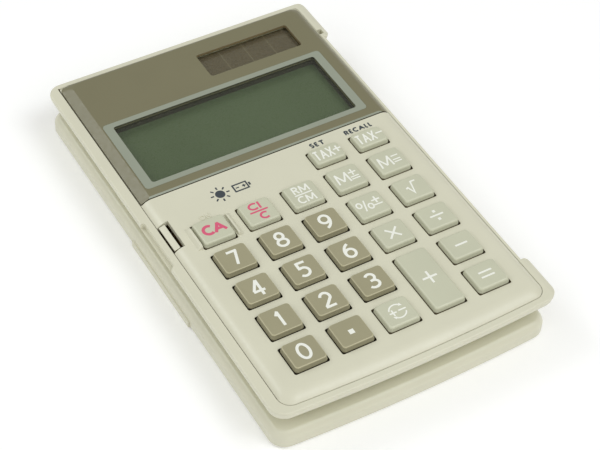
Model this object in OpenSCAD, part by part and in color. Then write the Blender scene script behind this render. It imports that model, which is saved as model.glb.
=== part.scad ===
// Slim dual-power calculator with a wrap-around hard cover, folded under the body.
// Origin: middle of the overall box at table level. +Y runs to the display end, +Z up.

/* [Body] */
// Left edge of the rim of the lower case
rim_left = -43.4; // [-43.6:0.1:-43.3]
// Right edge of the rim between the hinge lugs
rim_right = 41.4; // [41.2:0.1:41.5]
// Half of the overall length, to the middle of the bowed front edge
half_length = 69.35; // [69.2:0.05:69.8]
// How far the front edge bows out
front_bow = 1.2; // [0.6:0.1:1.5]
// Height of the flat top of the keyboard above the table
top_z = 16; // [15.9:0.1:16.2]
// Height of the top of the rim
rim_z = 14.5; // [14.4:0.05:14.55]
// Thickness of the rim
rim_h = 3; // [2.9:0.05:3.1]
// Height of the underside of the body
bottom_z = 5.8; // [5.75:0.01:5.85]
// Width of the sloping edge around the top
bevel_w = 3.2; // [2.8:0.1:3.4]

/* [Keys] */
// Sideways spacing of the keys
pitch_x = 14; // [13.9:0.05:14.1]
// Lengthways spacing of the keys
pitch_y = 12.13; // [12.05:0.01:12.2]
// Width of a key's opening
opening_w = 10.3; // [10:0.1:10.5]
// Length of a key's opening
opening_l = 9.5; // [9.3:0.1:9.7]
// Length of the openings of the two short keys at the top right
short_opening_l = 7.2; // [7:0.1:7.4]
// Gap all round a key in its opening
key_gap = 0.3; // [0.25:0.05:0.4]
// How far a key stands above the case
key_rise = 1.6; // [1.3:0.1:1.8]
// How far a key goes down
key_travel = 1; // [0.8:0.1:1]

/* [Display] */
// Width of the display window inside its printed frame
window_w = 66.3; // [65:0.1:67]
// Length of the display window inside its printed frame
window_l = 25.1; // [24:0.1:26]
// Width of the solar window
solar_w = 30.8; // [30:0.1:31]
// Length of the solar window
solar_l = 10.4; // [10:0.1:10.6]

/* [Cover and hinge] */
// Height of the cover, plate and wall together
cover_h = 5.5; // [5.4:0.05:5.5]
// Thickness of the cover's plate and walls
cover_t = 1.3; // [1.2:0.05:1.35]
// Distance of both hinge axes from the middle
hinge_x = 40.8; // [40.75:0.05:40.85]
// Height of the hinge axis on the body
body_axis_z = 10.15; // [10.1:0.01:10.2]
// Height of the hinge axis on the cover
cover_axis_z = 2.8; // [2.75:0.01:2.85]
// Radius of the hinge pins
pin_r = 0.8; // [0.7:0.05:0.85]
// Play between a hinge pin and its bore
pin_play = 0.05; // [0.03:0.01:0.08]

/* [Battery] */
// Radius of the button cell
cell_r = 5.8; // [5.7:0.1:5.8]
// Height of the button cell
cell_h = 3.05; // [2.9:0.05:3.05]

/* [Hidden] */
$fn = 48;
eps = 0.01;
cut = 1;

case_left = -40.1;
case_right = 40.2;
case_front = -half_length + 2.1;
case_rear = half_length - 1.9;
case_wall = 1.5;
seam_gap = 0.2;
seam_z = rim_z + 0.1;
shelf_z = rim_z - rim_h;
shelf_t = 1.4;
tub_left = rim_left + 5;
tub_right = 38.1;
tub_front = -half_length + 4.5;
tub_rear = half_length - 3;
tub_wall = 1.4;
floor_top = bottom_z + 1.4;

plate_under = top_z - 1.6;
key_top = top_z + key_rise;
key_bottom = 13.1;
key_tab_h = 1.1;
key_tab_over = 0.5;
key_r = 1;
opening_r = 0.5;

columns = [for (i = [0:4]) 0.2 + (i - 2) * pitch_x];
row1_y = -6;
short_row_y = 4.9;
function row_y(r) = row1_y - (r - 1) * pitch_y;

panel_front = 13.75;
panel_gap = 0.15;
panel_z = 14.3;
lower_plate_z = 13.05;
window_x = -0.65;
window_y = 31.28;
ring_w = 2.75;
ring_l = 1.85;
pane_t = 0.9;
solar_x = 16.94;
solar_y = 55.3;
lcd_w = window_w + 4.4;
lcd_y = [16.9, 45.6];
lcd_z = [11.65, 11.85, 12.42, 13];

board_z = 10.35;
board_t = 0.95;
rubber_z = 11.35;
rubber_t = 0.5;
pad_top = key_bottom - key_travel - 0.1;
cell_x = -20;
cell_y = 52.5;
cell_z = 7.05;
door_x = [-28.6, -11.4];
door_y = [45.2, 63.4];
door_screw_y = 61;

lug_front_y = [-half_length, -52.3];
lug_rear_y = [52, half_length];
lug_right = 43.4;
lug_sweep_r = 4.4;
link_y = [-51.6, 51.4];
barrel_r = 1.25;
ear_w = 4.2;
ear_gap = 0.3;
pin_len = 4;
cover_left = -42.9;
cover_right = 41.35;
cover_edge_x = 38;
cover_front = -half_length + 0.2;
cover_rear = half_length - 0.2;
slot_y = [-6.75, 3.65];
slot_right = -36.8;

case_screws_xy = [
  [-20.8, -61], [21.2, -61], [-33.5, 12.6], [33.5, 12.6], [-34, 62.7], [34, 62.7]
];
board_screws_xy = [[-20.8, -36.3], [21.2, -36.3], [-20.8, -12.07], [21.2, -12.07], [-6.8, 5.5]];

KEYS = [
  ["key_tax_plus", 3, 0], ["key_tax_minus", 4, 0],
  ["key_clear_all", 0, 1], ["key_clear", 1, 1], ["key_memory_recall", 2, 1],
  ["key_memory_plus", 3, 1], ["key_memory_minus", 4, 1],
  ["key_7", 0, 2], ["key_8", 1, 2], ["key_9", 2, 2], ["key_percent", 3, 2], ["key_square_root", 4, 2],
  ["key_4", 0, 3], ["key_5", 1, 3], ["key_6", 2, 3], ["key_multiply", 3, 3], ["key_divide", 4, 3],
  ["key_1", 0, 4], ["key_2", 1, 4], ["key_3", 2, 4], ["key_plus", 3, 4], ["key_minus", 4, 4],
  ["key_0", 0, 5], ["key_decimal", 1, 5], ["key_sign", 2, 5], ["key_equals", 4, 5]
];

CREAM = [0.83, 0.81, 0.73];
FUNCTION_KEY = [0.76, 0.76, 0.67];
NUMBER_KEY = [0.62, 0.59, 0.49];
TAUPE = [0.47, 0.45, 0.36];

// ---- Outlines ----------------------------------------------------------------

// Points of an arc about (x, y), from angle a to angle b
function arc(x, y, r, a, b, n = 6) =
  [for (i = [0:n]) let (t = a + (b - a) * i / n) [x + r * cos(t), y + r * sin(t)]];

// Bowed front edge: how far it lies behind the middle of the bow at x
function bow_at(x) = front_bow * pow(x / 40, 2);

// Rectangle with rounded corners and a front edge that bows out
module bowed_outline(left, right, front, rear, front_r, rear_r) {
  steps = 10;
  inner = [left + front_r, right - front_r];
  polygon(concat(
    arc(left + front_r, front + bow_at(inner[0]) + front_r, front_r, 180, 270),
    [for (i = [1:steps - 1]) let (x = inner[0] + (inner[1] - inner[0]) * i / steps) [x, front + bow_at(x)]],
    arc(right - front_r, front + bow_at(inner[1]) + front_r, front_r, 270, 360),
    arc(right - rear_r, rear - rear_r, rear_r, 0, 90),
    arc(left + rear_r, rear - rear_r, rear_r, 90, 180)
  ));
}

module bowed_slab(left, right, front, rear, front_r, rear_r, z0, z1) {
  translate([0, 0, z0]) linear_extrude(z1 - z0) bowed_outline(left, right, front, rear, front_r, rear_r);
}

// Box given by its lowest and highest corners
module box(a, b) {
  translate(a) cube(b - a);
}

module upright(x, y, r, z0, z1) {
  translate([x, y, z0]) cylinder(r = r, h = z1 - z0);
}

// Cylinder along Y at (x, z)
module across(x, z, r, y0, y1) {
  translate([x, y0, z]) rotate([-90, 0, 0]) cylinder(r = r, h = y1 - y0);
}

// Rectangle on its centre with rounded corners
module rounded_rect(w, l, r) {
  polygon(concat(
    arc(w / 2 - r, l / 2 - r, r, 0, 90, 4),
    arc(r - w / 2, l / 2 - r, r, 90, 180, 4),
    arc(r - w / 2, r - l / 2, r, 180, 270, 4),
    arc(w / 2 - r, r - l / 2, r, 270, 360, 4)
  ));
}

module rounded_slab(x, y, w, l, r, z0, z1) {
  translate([x, y, z0]) linear_extrude(z1 - z0) rounded_rect(w, l, r);
}

// ---- Keys ---------------------------------------------------------------------

// Length of the opening of a key: short top row, tall plus key, or standard
function opening_len(k) =
  k[2] == 0 ? short_opening_l : (k[0] == "key_plus" ? opening_l + pitch_y : opening_l);

function key_x(k) = columns[k[1]];
function key_y(k) =
  k[2] == 0 ? short_row_y : (k[0] == "key_plus" ? row_y(4) - pitch_y / 2 : row_y(k[2]));

module key_openings(z0, z1) {
  for (k = KEYS) rounded_slab(key_x(k), key_y(k), opening_w, opening_len(k), opening_r, z0, z1);
}

module key(name) {
  k = [for (entry = KEYS) if (entry[0] == name) entry][0];
  w = opening_w - 2 * key_gap;
  l = opening_len(k) - 2 * key_gap;
  colour = k[1] < 3 && k[2] > 1 && name != "key_sign" ? NUMBER_KEY : FUNCTION_KEY;
  wall = 1;
  stem_r = 1.6;
  color(colour) difference() {
    union() {
      // Cap, drawn in a little at the top with soft edges
      hull() {
        rounded_slab(key_x(k), key_y(k), w, l, key_r, key_bottom, top_z + 0.2);
        rounded_slab(key_x(k), key_y(k), w - 0.4, l - 0.4, key_r, key_top - 0.4, key_top - 0.35);
        rounded_slab(key_x(k), key_y(k), w - 1.1, l - 1.1, key_r, key_top - 0.05, key_top);
      }
      // Side tabs that hold the cap under the case
      tab_w = opening_w + 2 * key_tab_over;
      tab_l = l - 3;
      box([key_x(k) - tab_w / 2, key_y(k) - tab_l / 2, key_bottom],
          [key_x(k) + tab_w / 2, key_y(k) + tab_l / 2, key_bottom + key_tab_h]);
    }
    // Hollow underneath around the stem
    difference() {
      box([key_x(k) - w / 2 + wall, key_y(k) - l / 2 + wall, key_bottom - cut],
          [key_x(k) + w / 2 - wall, key_y(k) + l / 2 - wall, key_top - 1.3]);
      upright(key_x(k), key_y(k), stem_r, key_bottom - 2 * cut, key_top);
    }
  }
}

// ---- Lower case ----------------------------------------------------------------

// Rounded hinge lug at one end of the right-hand side
module lug(y) {
  intersection() {
    box([rim_right - 3, y[0], shelf_z], [lug_right, y[1], rim_z]);
    across(hinge_x, body_axis_z, lug_sweep_r, y[0] - cut, y[1] + cut);
    translate([0, 0, shelf_z - cut]) linear_extrude(rim_h + 2 * cut)
      bowed_outline(0, lug_right, -half_length, half_length, 4.5, 2.6);
  }
}

// Ear under a lug that carries a hinge pin
module body_ear(y0) {
  box([hinge_x - barrel_r, y0, body_axis_z], [hinge_x + barrel_r, y0 + ear_w, shelf_z + 0.2]);
  across(hinge_x, body_axis_z, barrel_r, y0, y0 + ear_w);
}

// Bar in the latch slot, with a lip that the cover's hook catches
module catch_bar() {
  rear_gap = 0.25;
  bar_l = slot_y[1] - slot_y[0] - rear_gap - 0.6;
  translate([0, slot_y[1] - rear_gap, 0]) rotate([90, 0, 0]) linear_extrude(bar_l)
    polygon([
      [-39.5, shelf_z], [-38.2, shelf_z], [-38.2, 15.05], [-37.95, 15.1], [-37.95, 15.4], [-39.5, 14.85]
    ]);
}

module lower_case() {
  rim_corner = 5;
  lug_end_y = [link_y[0] - ear_gap - ear_w, link_y[1] + ear_gap];
  color(CREAM) difference() {
    union() {
      // Rim and the shelf that the top case stands on
      bowed_slab(rim_left, rim_right, -half_length, half_length, rim_corner, 4.2, shelf_z, rim_z);
      lug(lug_front_y);
      lug(lug_rear_y);
      for (y0 = lug_end_y) body_ear(y0);
      // Tub below the shelf
      bowed_slab(tub_left, tub_right, tub_front, tub_rear, 4, 4, bottom_z, shelf_z + shelf_t);
    }
    difference() {
      // Inside of the rim, above the shelf
      bowed_slab(case_left - seam_gap, case_right + seam_gap, case_front - seam_gap,
                 case_rear + seam_gap, 3.8, 1.4, shelf_z + shelf_t, rim_z + cut);
      catch_bar();
    }
    // Inside of the tub
    difference() {
      bowed_slab(tub_left + tub_wall, tub_right - tub_wall, tub_front + tub_wall, tub_rear - tub_wall,
                 2.6, 2.6, floor_top, shelf_z + shelf_t + cut);
      case_posts();
      battery_well();
    }
    for (p = case_screws_xy) {
      upright(p[0], p[1], 2.1, bottom_z - cut, floor_top);
      upright(p[0], p[1], 1.1, bottom_z - cut, 10);
    }
    // Battery opening and the hole for the door's screw
    box([door_x[0], door_y[0], bottom_z - cut], [door_x[1], door_y[1], floor_top + eps]);
    upright(cell_x, door_screw_y, 0.6, bottom_z, floor_top + 2);
    // Thumb recess in the upper part of the left rim
    box([rim_left - cut, -11.25, shelf_z + 1.2], [rim_left + 1.3, 7.25, rim_z + cut]);
    // Pocket in the inner end of the rear lug
    box([40.4, lug_rear_y[0] + 1.1, rim_z - 1.8], [41.9, lug_rear_y[0] + 3.2, rim_z + cut]);
    // Bores for the hinge link's pins
    across(hinge_x, body_axis_z, pin_r + pin_play, -half_length, lug_end_y[0] + ear_w + cut);
    across(hinge_x, body_axis_z, pin_r + pin_play, lug_end_y[1] - cut, half_length);
  }
}

// Screw posts standing on the floor
module case_posts() {
  for (p = case_screws_xy) upright(p[0], p[1], 2.8, bottom_z, 9.6);
}

// Ring round the button cell and the ledge over the edge of the battery opening
module battery_well() {
  ledge = 1.5;
  ledge_t = 1;
  difference() {
    union() {
      box([door_x[0] - ledge, door_y[0] - ledge, bottom_z],
          [door_x[1] + ledge, door_y[1] + ledge, floor_top + ledge_t]);
      upright(cell_x, cell_y, cell_r + 1, floor_top, 9.9);
    }
    upright(cell_x, cell_y, cell_r + 0.1, bottom_z, 11);
    // Slot for the positive contact
    box([cell_x - cell_r - 2, cell_y - 2.2, floor_top + 0.2], [cell_x - cell_r + 1, cell_y + 2.2, 11]);
  }
}

// ---- Top case --------------------------------------------------------------------

module guard_rib(x_low, x_high) {
  guard_h = 0.9;
  guard_y = [-10.1, -1.5];
  translate([0, guard_y[1], 0]) rotate([90, 0, 0]) linear_extrude(guard_y[1] - guard_y[0])
    polygon([[x_low, top_z - 0.2], [x_high, top_z - 0.2], [x_high, top_z + guard_h], [x_low, top_z]]);
}

module top_case() {
  front_bevel = bevel_w + 0.8;
  color(CREAM) difference() {
    union() {
      difference() {
        union() {
          hull() {
            bowed_slab(case_left, case_right, case_front, case_rear, 3.6, 1.2, seam_z - 0.2, seam_z);
            bowed_slab(case_left + bevel_w, case_right - bevel_w, case_front + front_bevel,
                       case_rear - 0.3, 2.4, 1, top_z - 0.02, top_z);
          }
          bowed_slab(case_left, case_right, case_front, case_rear, 3.6, 1.2,
                     shelf_z + shelf_t, seam_z - 0.1);
        }
        // Hollow under the keyboard, then under the display
        difference() {
          bowed_slab(case_left + case_wall, case_right - case_wall, case_front + case_wall,
                     case_rear - case_wall, 2.2, 1, shelf_z, plate_under);
          box([-50, panel_front - 1.5, lower_plate_z], [50, 80, top_z]);
        }
        // Seat of the display panel
        box([-50, panel_front - panel_gap, panel_z - 0.05], [50, 80, top_z + cut]);
      }
      top_bosses();
      guard_rib(-34.95, -33.1);
      guard_rib(-20.4, -22.25);
    }
    rounded_slab(window_x, window_y, window_w, window_l, 0.8, shelf_z, top_z);
    box([solar_x - solar_w / 2 - 0.5, solar_y - solar_l / 2 - 0.5, shelf_z],
        [solar_x + solar_w / 2 + 0.5, solar_y + solar_l / 2 + 0.5, top_z]);
    key_openings(shelf_z, top_z + cut);
    // Latch slot
    box([case_left - cut, slot_y[0], shelf_z], [slot_right, slot_y[1], top_z + cut]);
    for (p = case_screws_xy) upright(p[0], p[1], 0.95, 9, 12.9);
    for (p = board_screws_xy) upright(p[0], p[1], 0.6, 11, 14);
  }
}

// Screw bosses under the top case; those by the display stop in its lower plate
module top_bosses() {
  for (p = case_screws_xy)
    upright(p[0], p[1], 1.9, 9.65, p[1] > 0 ? lower_plate_z + 0.5 : plate_under + 0.5);
  for (p = board_screws_xy) upright(p[0], p[1], 1.3, board_z + board_t, plate_under + 0.5);
}

// ---- Display ------------------------------------------------------------------------

module display_panel() {
  left = case_left + 0.25;
  right = case_right - 0.2;
  rear = case_rear - 0.25;
  ring = [window_w + 2 * ring_w, window_l + 2 * ring_l];
  rear_bevel = 1.6;
  color(TAUPE) difference() {
    hull() {
      box([left, panel_front, panel_z], [right, rear, seam_z]);
      box([left + bevel_w, panel_front + 0.9, top_z - 0.02], [right - bevel_w, rear - rear_bevel, top_z]);
    }
    rounded_slab(window_x, window_y, window_w, window_l, 0.8, panel_z - cut, top_z + cut);
    // Rebate for the display window
    rounded_slab(window_x, window_y, ring[0], ring[1], 1.2, top_z - pane_t - 0.05, top_z + cut);
    rounded_slab(solar_x, solar_y, solar_w, solar_l, 0.8, panel_z - cut, top_z + cut);
    // Rebate under the panel for the solar window
    rounded_slab(solar_x, solar_y, solar_w + 1.6, solar_l + 1.6, 1, panel_z - cut, panel_z + 0.75);
  }
}

module display_window() {
  color("lightsteelblue", 0.4)
    rounded_slab(window_x, window_y, window_w + 2 * ring_w - 0.1, window_l + 2 * ring_l - 0.1, 1.15,
                 top_z - pane_t, top_z);
}

module solar_window() {
  color("lightsteelblue", 0.4)
    rounded_slab(solar_x, solar_y, solar_w + 1.5, solar_l + 1.5, 0.95, panel_z, panel_z + 0.7);
}

module lcd_front_glass() {
  color([0.45, 0.52, 0.4])
    box([window_x - lcd_w / 2, lcd_y[0], lcd_z[2] + eps], [window_x + lcd_w / 2, lcd_y[1], lcd_z[3]]);
}

// Rear glass, longer at the front for the ledge that the flat cable joins
module lcd_rear_glass() {
  color([0.55, 0.6, 0.5])
    box([window_x - lcd_w / 2, lcd_y[0] - 2.2, lcd_z[1]], [window_x + lcd_w / 2, lcd_y[1], lcd_z[2]]);
}

module lcd_reflector() {
  color("silver")
    box([window_x - lcd_w / 2, lcd_y[0], lcd_z[0]], [window_x + lcd_w / 2, lcd_y[1], lcd_z[1] - eps]);
}

// Frame round the glasses, fixed under the top case
module lcd_holder() {
  play = 0.1;
  rail = 1;
  color([0.2, 0.2, 0.2]) difference() {
    box([window_x - lcd_w / 2 - rail, lcd_y[0] - 0.4, lcd_z[0]],
        [window_x + lcd_w / 2 + rail, lcd_y[1] + rail, lcd_z[3]]);
    box([window_x - lcd_w / 2 - play, lcd_y[0] - cut, lcd_z[0] - cut],
        [window_x + lcd_w / 2 + play, lcd_y[1] + play, lcd_z[3] + cut]);
  }
}

// Ribbon from the ledge of the rear glass down to the circuit board
module flat_cable() {
  t = 0.12;
  ledge_z = lcd_z[2] + eps;
  land_z = board_z + board_t + eps;
  color([0.75, 0.6, 0.3]) translate([-24, 0, 0]) rotate([90, 0, 90]) linear_extrude(50)
    polygon([
      [16.3, ledge_z], [14.2, ledge_z], [12.6, land_z], [10.4, land_z],
      [10.4, land_z + t], [12.5, land_z + t], [14.1, ledge_z + t], [16.3, ledge_z + t]
    ]);
}

module solar_cell() {
  color([0.3, 0.22, 0.18])
    box([solar_x - solar_w / 2 - 0.4, solar_y - solar_l / 2 - 0.4, lower_plate_z + 0.05],
        [solar_x + solar_w / 2 + 0.4, solar_y + solar_l / 2 + 0.4, panel_z - 0.1]);
}

// Two wires from the solar cell to the circuit board
module solar_leads() {
  wire_r = 0.4;
  run_z = 12.3;
  ends_x = [-13, 4];
  for (y = [50.5, 58]) color(y < 55 ? "firebrick" : [0.15, 0.15, 0.15]) {
    upright(ends_x[1], y, wire_r, run_z, lower_plate_z + 0.04);
    upright(ends_x[0], y, wire_r, board_z + board_t + eps, run_z);
    translate([ends_x[0], y, run_z]) rotate([0, 90, 0]) cylinder(r = wire_r, h = ends_x[1] - ends_x[0]);
    for (x = ends_x) translate([x, y, run_z]) sphere(r = wire_r);
  }
}

// ---- Electronics and keypad -----------------------------------------------------------

module circuit_board() {
  half_w = 35.8;
  color([0.55, 0.42, 0.22]) difference() {
    union() {
      box([-half_w, -58.8, board_z], [half_w, 14, board_z + board_t]);
      // Tongue under the display, out to the battery
      box([-half_w, 13, board_z], [-9, 59.5, board_z + board_t]);
    }
    // Notches round the two middle screw bosses
    for (side = [-1, 1]) translate([side * 34.5, 12.7, board_z]) cube([7, 4.8, 3], center = true);
    for (p = board_screws_xy) upright(p[0], p[1], 0.75, board_z - cut, board_z + 2 * cut);
  }
}

// Drop of black resin over the calculator chip, under the board
module control_chip() {
  color([0.1, 0.1, 0.1]) intersection() {
    translate([0, -25, board_z + 3.2]) sphere(r = 5);
    box([-6, -31, board_z - 3], [6, -19, board_z - eps]);
  }
}

module capacitor() {
  color([0.15, 0.2, 0.35]) translate([12, 3, board_z - 1.55]) rotate([0, 90, 0]) cylinder(r = 1.5, h = 6);
}

module board_screws() {
  for (p = board_screws_xy) color("silver") {
    upright(p[0], p[1], 0.55, board_z - 0.3, board_z + 3);
    upright(p[0], p[1], 1.3, board_z - 0.7, board_z - eps);
  }
}

module rubber_keypad() {
  pad_r = 2.8;
  color([0.75, 0.75, 0.72]) difference() {
    union() {
      box([-34.5, -58.8, rubber_z], [34.5, 9.6, rubber_z + rubber_t]);
      for (k = KEYS) upright(key_x(k), key_y(k), pad_r, rubber_z, pad_top);
    }
    for (p = board_screws_xy) upright(p[0], p[1], 1.6, rubber_z - cut, pad_top + cut);
  }
}

// ---- Power -------------------------------------------------------------------------------

module button_cell() {
  color("silver") {
    upright(cell_x, cell_y, cell_r, cell_z, cell_z + cell_h - 0.35);
    upright(cell_x, cell_y, cell_r - 1.1, cell_z + cell_h - 0.4, cell_z + cell_h);
  }
}

// Sheet strip that presses on the side of the cell
module positive_contact() {
  x = cell_x - cell_r - 0.25;
  color("gold") {
    box([x, cell_y - 1.8, cell_z + 0.6], [x + 0.2, cell_y + 1.8, board_z - eps]);
    box([x - 2.6, cell_y - 1.8, board_z - 0.2], [x + 0.1, cell_y + 1.8, board_z - eps]);
  }
}

// Sheet strip under the board that presses on the end of the cell
module negative_contact() {
  color("gold") box([cell_x - 2, cell_y - 4, board_z - 0.22], [cell_x + 2, cell_y + 9, board_z - eps]);
}

module battery_door() {
  gap = 0.2;
  color(CREAM) difference() {
    box([door_x[0] + gap, door_y[0] + gap, bottom_z], [door_x[1] - gap, door_y[1] - gap, bottom_z + 1.2]);
    upright(cell_x, door_screw_y, 0.95, bottom_z - cut, floor_top);
    upright(cell_x, door_screw_y, 1.75, bottom_z - cut, bottom_z + 0.75);
  }
}

module door_screw() {
  color("silver") {
    upright(cell_x, door_screw_y, 1.6, bottom_z + 0.15, bottom_z + 0.74);
    upright(cell_x, door_screw_y, 0.55, bottom_z + 0.7, floor_top + 1);
  }
}

module case_screws() {
  head_r = 1.8;
  head_top = floor_top - 0.01;
  for (p = case_screws_xy) color("silver") {
    upright(p[0], p[1], head_r, bottom_z + 0.25, head_top);
    upright(p[0], p[1], 0.9, head_top - 0.1, 12.6);
  }
}

// ---- Cover and its two-axis hinge -----------------------------------------------------------

// Plate that joins body and cover, with a barrel and end pins on each axis
module hinge_link() {
  plate_x = [hinge_x - 2.4, hinge_x - 0.9];
  plate_z = [cover_axis_z - 0.4, body_axis_z - 0.4];
  color(CREAM) {
    box([plate_x[0], link_y[0], plate_z[0]], [plate_x[1], link_y[1], plate_z[1]]);
    for (z = [cover_axis_z, body_axis_z]) {
      across(hinge_x, z, barrel_r, link_y[0], link_y[1]);
      across(hinge_x, z, pin_r, link_y[0] - pin_len, link_y[1] + pin_len);
    }
  }
}

// Ear at one end of the cover's hinge notch
module cover_ear(y0) {
  box([cover_edge_x - 1, y0, cover_h - 4], [hinge_x, y0 + ear_w, cover_h]);
  across(hinge_x, cover_axis_z, barrel_r, y0, y0 + ear_w);
}

module cover() {
  inner_z = cover_h - cover_t;
  ears_y = [link_y[0] - ear_gap - ear_w, link_y[1] + ear_gap];
  thumb_ridge_y = [-20.6, 13.4];
  hook_x = [-37.75, -37];
  hook_y = [-6.1, 3];
  color(CREAM) difference() {
    union() {
      difference() {
        bowed_slab(cover_left, cover_right, cover_front, cover_rear, 4.8, 4.6, 0, cover_h);
        bowed_slab(cover_left + cover_t, cover_right - cover_t, cover_front + cover_t, cover_rear - cover_t,
                   3.5, 1.4, -cut, inner_z);
        // Notch for the hinge link, open through the right-hand wall
        box([cover_edge_x, ears_y[0], -cut], [50, ears_y[1] + ear_w, cover_h + cut]);
      }
      for (y0 = ears_y) cover_ear(y0);
      // Ridge that a thumb lifts
      box([rim_left, thumb_ridge_y[0], 0], [cover_left + 0.5, thumb_ridge_y[1], 2.2]);
      // Latch hook with its barb
      box([hook_x[0], hook_y[0], 0], [hook_x[1], hook_y[1], inner_z + 0.5]);
      box([hook_x[0] - 0.3, hook_y[0], 0], [hook_x[0] + 0.3, hook_y[1], 0.3]);
    }
    across(hinge_x, cover_axis_z, pin_r + pin_play, ears_y[0] - cut, ears_y[0] + ear_w + cut);
    across(hinge_x, cover_axis_z, pin_r + pin_play, ears_y[1] - cut, ears_y[1] + ear_w + cut);
  }
}

lower_case();
top_case();
display_panel();
display_window();
solar_window();
lcd_front_glass();
lcd_rear_glass();
lcd_reflector();
lcd_holder();
flat_cable();
solar_cell();
solar_leads();
circuit_board();
control_chip();
capacitor();
board_screws();
rubber_keypad();
button_cell();
positive_contact();
negative_contact();
battery_door();
door_screw();
case_screws();
hinge_link();
cover();
key("key_tax_plus");  // key_tax_plus
key("key_tax_minus");  // key_tax_minus
key("key_clear_all");  // key_clear_all
key("key_clear");  // key_clear
key("key_memory_recall");  // key_memory_recall
key("key_memory_plus");  // key_memory_plus
key("key_memory_minus");  // key_memory_minus
key("key_7");  // key_7
key("key_8");  // key_8
key("key_9");  // key_9
key("key_percent");  // key_percent
key("key_square_root");  // key_square_root
key("key_4");  // key_4
key("key_5");  // key_5
key("key_6");  // key_6
key("key_multiply");  // key_multiply
key("key_divide");  // key_divide
key("key_1");  // key_1
key("key_2");  // key_2
key("key_3");  // key_3
key("key_plus");  // key_plus
key("key_minus");  // key_minus
key("key_0");  // key_0
key("key_decimal");  // key_decimal
key("key_sign");  // key_sign
key("key_equals");  // key_equals
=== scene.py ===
import math

import bmesh
import bpy
from mathutils import Matrix, Vector


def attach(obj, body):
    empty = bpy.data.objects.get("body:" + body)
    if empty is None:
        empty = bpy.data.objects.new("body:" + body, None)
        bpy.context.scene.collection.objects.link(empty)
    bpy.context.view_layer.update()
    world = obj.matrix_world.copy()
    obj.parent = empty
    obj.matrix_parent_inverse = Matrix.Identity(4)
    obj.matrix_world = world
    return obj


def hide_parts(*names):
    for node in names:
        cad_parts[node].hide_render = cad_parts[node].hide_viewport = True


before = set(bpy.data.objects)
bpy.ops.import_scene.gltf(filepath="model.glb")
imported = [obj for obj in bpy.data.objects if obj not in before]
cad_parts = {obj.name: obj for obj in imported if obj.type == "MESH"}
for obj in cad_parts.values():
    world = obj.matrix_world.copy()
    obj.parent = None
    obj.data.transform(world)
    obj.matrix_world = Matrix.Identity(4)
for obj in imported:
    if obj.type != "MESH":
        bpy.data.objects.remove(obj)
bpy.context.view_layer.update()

MM = 0.001  # shapes are drawn in millimetres and scaled when they are finished

# ---- Sizes, in millimetres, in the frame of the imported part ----

FAR_X, FAR_Y = 50, 80  # outside the part: where cutting tools end
TOP_Z = 16.0
RIM_Z = 14.5
SHELF_Z = 11.5
SHELF_TOP = 12.9
SEAM_Z = 14.6
SEAM_GAP = 0.15
BOTTOM_Z = 5.8
FLOOR_TOP = 7.2
HALF_LENGTH = 69.35
RIM_LEFT, RIM_RIGHT = -43.4, 41.4
CASE_LEFT, CASE_RIGHT = -40.1, 40.2
CASE_FRONT, CASE_REAR = -67.25, 67.45
CASE_FRONT_R, CASE_REAR_R = 3.6, 1.2
TUB = (-38.4, 38.1, -64.85, 66.35)
BEVEL_W = 3.2
FRONT_BEVEL_W = 4.0
PLATE_UNDER = 14.4

COLUMNS = [0.2 + (i - 2) * 14.0 for i in range(5)]
ROWS = [4.9] + [-6.0 - i * 12.13 for i in range(5)]
OPENING_W, OPENING_L, SHORT_OPENING_L = 10.3, 9.5, 7.2
KEY_GAP = 0.3
GUARDS_X = ((-34.75, -33.1), (-20.6, -22.25))  # ribs beside the top left key: foot and top
KEY_R, OPENING_R = 1.0, 0.5
KEY_BOTTOM, KEY_TOP = 13.1, 17.6
PRINT_Z = (TOP_Z - 0.03, TOP_Z + 0.012)
INK_Z = (KEY_TOP - 0.04, KEY_TOP + 0.02)

PANEL_FRONT = 13.75
PANEL_Z = 14.3
PANEL_GAP = 0.6
PANEL_R = 2.0
LEFT_BEVEL_W = 2.9
WINDOW = (-0.65, 31.28, 66.3, 25.1)  # centre, width and length
RING_W, RING_L = 2.75, 1.85
PANE_T = 0.9
SOLAR = (16.94, 55.3, 30.8, 10.4)
OPENING_CORNER = 0.8  # of the display and solar openings

HINGE_X, BODY_AXIS_Z, COVER_AXIS_Z = 40.8, 10.15, 2.8
BORE_R, BARREL_R = 0.85, 1.25
LINK_Y = (-51.6, 51.4)
EAR_W, EAR_GAP = 4.2, 0.3
EARS_Y = (LINK_Y[0] - EAR_GAP - EAR_W, LINK_Y[1] + EAR_GAP)
LUG_RIGHT = 43.4
LUG_FRONT_Y = (-HALF_LENGTH, -52.3)
LUG_REAR_Y = (52.0, HALF_LENGTH)
SLOT_Y = (-6.75, 3.65)
SLOT_RIGHT = -36.8
BAR = (-39.7, -38.2)

COVER_H, COVER_T = 5.5, 1.3
COVER = (-42.9, 41.35, -HALF_LENGTH + 0.05, HALF_LENGTH - 0.2)
COVER_SHOULDER_W, COVER_SHOULDER_Z = 1.9, 3.6
COVER_FOOT = [(0.85, 0), (0.85, 0.36), (0.3, 0.42), (0.1, 0.52), (0, 0.75)]

CASE_SCREWS = [(-20.8, -61), (21.2, -61), (-33.5, 12.6), (33.5, 12.6), (-34, 62.7), (34, 62.7)]
BOARD_SCREWS = [(-20.8, -36.3), (21.2, -36.3), (-20.8, -12.07), (21.2, -12.07), (-6.8, 5.5)]
CELL = (-20.0, 52.5, 5.8)  # centre and radius
DOOR_X, DOOR_Y = (-28.6, -11.4), (45.2, 63.4)
DOOR_SCREW = (-20.0, 61.0)

# Keys in their five columns, row by row from the rear
KEY_GRID = [
    "- - - tax_plus tax_minus",
    "clear_all clear memory_recall memory_plus memory_minus",
    "7 8 9 percent square_root",
    "4 5 6 multiply divide",
    "1 2 3 plus minus",
    "0 decimal sign - equals",
]


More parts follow.
